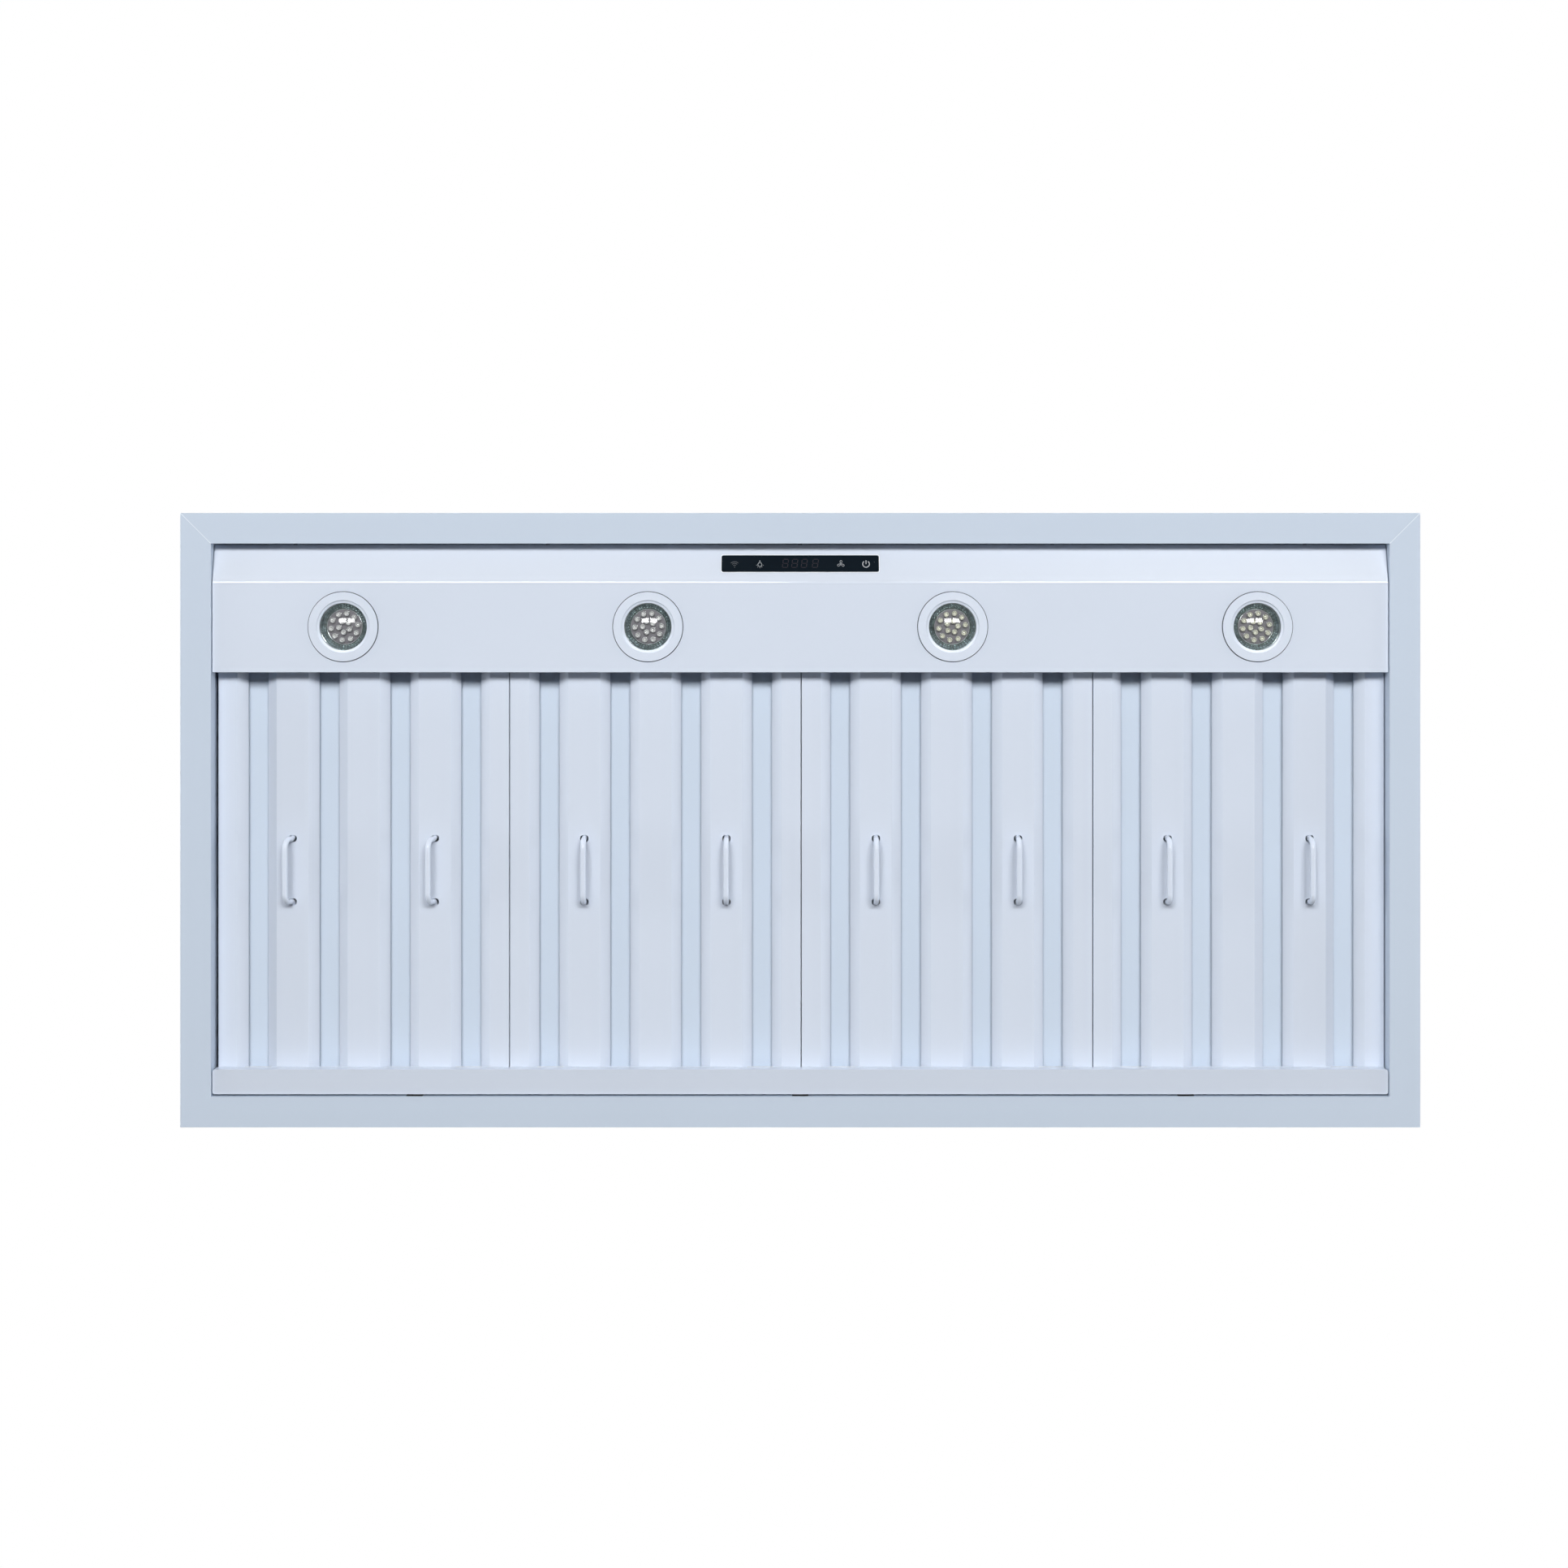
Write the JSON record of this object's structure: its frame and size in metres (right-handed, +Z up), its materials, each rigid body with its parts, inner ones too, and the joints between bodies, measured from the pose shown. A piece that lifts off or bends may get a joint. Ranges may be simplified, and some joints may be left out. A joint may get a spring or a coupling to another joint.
{
  "type": "wall mount range hood",
  "caption": "Wall mount range hood: pyramid canopy, lamps and touch strip on a slanted light panel, baffle filters with handles, grease trough, blower, damper and telescoping flue cover.",
  "frame": {"origin": "centre of the rectangle of four wall holes, on the back panel's rear face, which is the wall plane", "axes": "+Z up, +X along the wall to the right of someone who faces the wall, +Y into the wall, so the hood's front looks along -Y"},
  "size_m": [1.219, 0.604, 0.9822],
  "materials": {
    "white_coat": "cool white satin powder coat",
    "trim_coat": "white semi-gloss coat on the lamp rings",
    "handle_coat": "white gloss coat on wire",
    "black_glass": "black back-painted glass",
    "clear_glass": "clear flat glass",
    "reflector": "faceted dichroic reflector cup",
    "led_board": "light board with clear domes",
    "dark_plastic": "matt moulded housing",
    "motor_paint": "black enamel",
    "zinc_sheet": "zinc plated sheet",
    "wheel_sheet": "bright aluminium sheet",
    "bright_steel": "ground steel"
  },
  "bodies": {
    "hood": {"canopy_shell": "white_coat", "back_panel": "white_coat", "light_panel": "white_coat", "light_panel_screws": "zinc_sheet", "rear_ledge": "white_coat", "control_glass": "black_glass", "control_housing": "dark_plastic", "lamp_1_trim": "trim_coat", "lamp_1_bulb": "reflector", "lamp_1_leds": "led_board", "lamp_1_glass": "clear_glass", "lamp_2_trim": "trim_coat", "lamp_2_bulb": "reflector", "lamp_2_leds": "led_board", "lamp_2_glass": "clear_glass", "lamp_3_trim": "trim_coat", "lamp_3_bulb": "reflector", "lamp_3_leds": "led_board", "lamp_3_glass": "clear_glass", "lamp_4_trim": "trim_coat", "lamp_4_bulb": "reflector", "lamp_4_leds": "led_board", "lamp_4_glass": "clear_glass", "trough_clips": "zinc_sheet", "blower_housing": "zinc_sheet", "inlet_rings": "zinc_sheet", "motor": "motor_paint", "motor_bracket": "zinc_sheet", "blower_screws": "zinc_sheet", "exhaust_collar": "zinc_sheet", "damper_pin": "zinc_sheet", "flue_lower": "white_coat", "junction_box": "zinc_sheet", "power_box": "dark_plastic"},
    "filter_1": {"filter_1_frame": "white_coat", "filter_1_upper_baffles": "white_coat"},
    "filter_1_handle_left": {"filter_1_handle_left": "handle_coat"},
    "filter_1_handle_right": {"filter_1_handle_right": "handle_coat"},
    "filter_2": {"filter_2_frame": "white_coat", "filter_2_upper_baffles": "white_coat"},
    "filter_2_handle_left": {"filter_2_handle_left": "handle_coat"},
    "filter_2_handle_right": {"filter_2_handle_right": "handle_coat"},
    "filter_3": {"filter_3_frame": "white_coat", "filter_3_upper_baffles": "white_coat"},
    "filter_3_handle_left": {"filter_3_handle_left": "handle_coat"},
    "filter_3_handle_right": {"filter_3_handle_right": "handle_coat"},
    "filter_4": {"filter_4_frame": "white_coat", "filter_4_upper_baffles": "white_coat"},
    "filter_4_handle_left": {"filter_4_handle_left": "handle_coat"},
    "filter_4_handle_right": {"filter_4_handle_right": "handle_coat"},
    "trough": {"grease_trough": "white_coat"},
    "rotor": {"blower_wheel": "wheel_sheet", "blower_shaft": "bright_steel"},
    "damper_front": {"damper_flap_front": "zinc_sheet"},
    "damper_rear": {"damper_flap_rear": "zinc_sheet"},
    "upper_flue": {"flue_upper": "white_coat", "ceiling_bracket": "zinc_sheet", "flue_screws": "zinc_sheet"}
  },
  "joints": [
    {"name": "filter_1_shift", "type": "slide", "parent": "hood", "child": "filter_1", "axis": [0, 1, 0], "range_m": [0, 0.0128]},
    {"name": "filter_1_handle_left_swing", "type": "hinge", "parent": "filter_1", "child": "filter_1_handle_left", "pos_m": [-0.50279, -0.251, -0.20835], "axis": [0, 1, 0], "range_deg": [-31, 1]},
    {"name": "filter_1_handle_right_swing", "type": "hinge", "parent": "filter_1", "child": "filter_1_handle_right", "pos_m": [-0.36199, -0.251, -0.20835], "axis": [0, 1, 0], "range_deg": [-31, 1]},
    {"name": "filter_2_shift", "type": "slide", "parent": "hood", "child": "filter_2", "axis": [0, 1, 0], "range_m": [0, 0.0128]},
    {"name": "filter_2_handle_left_swing", "type": "hinge", "parent": "filter_2", "child": "filter_2_handle_left", "pos_m": [-0.21386, -0.251, -0.20835], "axis": [0, 1, 0], "range_deg": [-16, 16]},
    {"name": "filter_2_handle_right_swing", "type": "hinge", "parent": "filter_2", "child": "filter_2_handle_right", "pos_m": [-0.07306, -0.251, -0.20835], "axis": [0, 1, 0], "range_deg": [-16, 16]},
    {"name": "filter_3_shift", "type": "slide", "parent": "hood", "child": "filter_3", "axis": [0, 1, 0], "range_m": [0, 0.0128]},
    {"name": "filter_3_handle_left_swing", "type": "hinge", "parent": "filter_3", "child": "filter_3_handle_left", "pos_m": [0.07506, -0.251, -0.20835], "axis": [0, 1, 0], "range_deg": [-16, 16]},
    {"name": "filter_3_handle_right_swing", "type": "hinge", "parent": "filter_3", "child": "filter_3_handle_right", "pos_m": [0.21586, -0.251, -0.20835], "axis": [0, 1, 0], "range_deg": [-16, 16]},
    {"name": "filter_4_shift", "type": "slide", "parent": "hood", "child": "filter_4", "axis": [0, 1, 0], "range_m": [0, 0.0128]},
    {"name": "filter_4_handle_left_swing", "type": "hinge", "parent": "filter_4", "child": "filter_4_handle_left", "pos_m": [0.36399, -0.251, -0.20835], "axis": [0, 1, 0], "range_deg": [-16, 16]},
    {"name": "filter_4_handle_right_swing", "type": "hinge", "parent": "filter_4", "child": "filter_4_handle_right", "pos_m": [0.50479, -0.251, -0.20835], "axis": [0, 1, 0], "range_deg": [-16, 16]},
    {"name": "trough_drop", "type": "slide", "parent": "hood", "child": "trough", "axis": [0, 0, -1], "range_m": [0, 0.04]},
    {"name": "blower_spin", "type": "hinge", "parent": "hood", "child": "rotor", "pos_m": [0, -0.277, -0.005], "axis": [1, 0, 0], "continuous": true},
    {"name": "damper_front_swing", "type": "hinge", "parent": "hood", "child": "damper_front", "pos_m": [0, -0.15, 0.225], "axis": [-1, 0, 0], "range_deg": [0, 80]},
    {"name": "damper_rear_swing", "type": "hinge", "parent": "hood", "child": "damper_rear", "pos_m": [0, -0.15, 0.225], "axis": [1, 0, 0], "range_deg": [0, 80]},
    {"name": "flue_slide", "type": "slide", "parent": "hood", "child": "upper_flue", "axis": [0, 0, 1], "range_m": [-0.1, 0.2]}
  ]
}
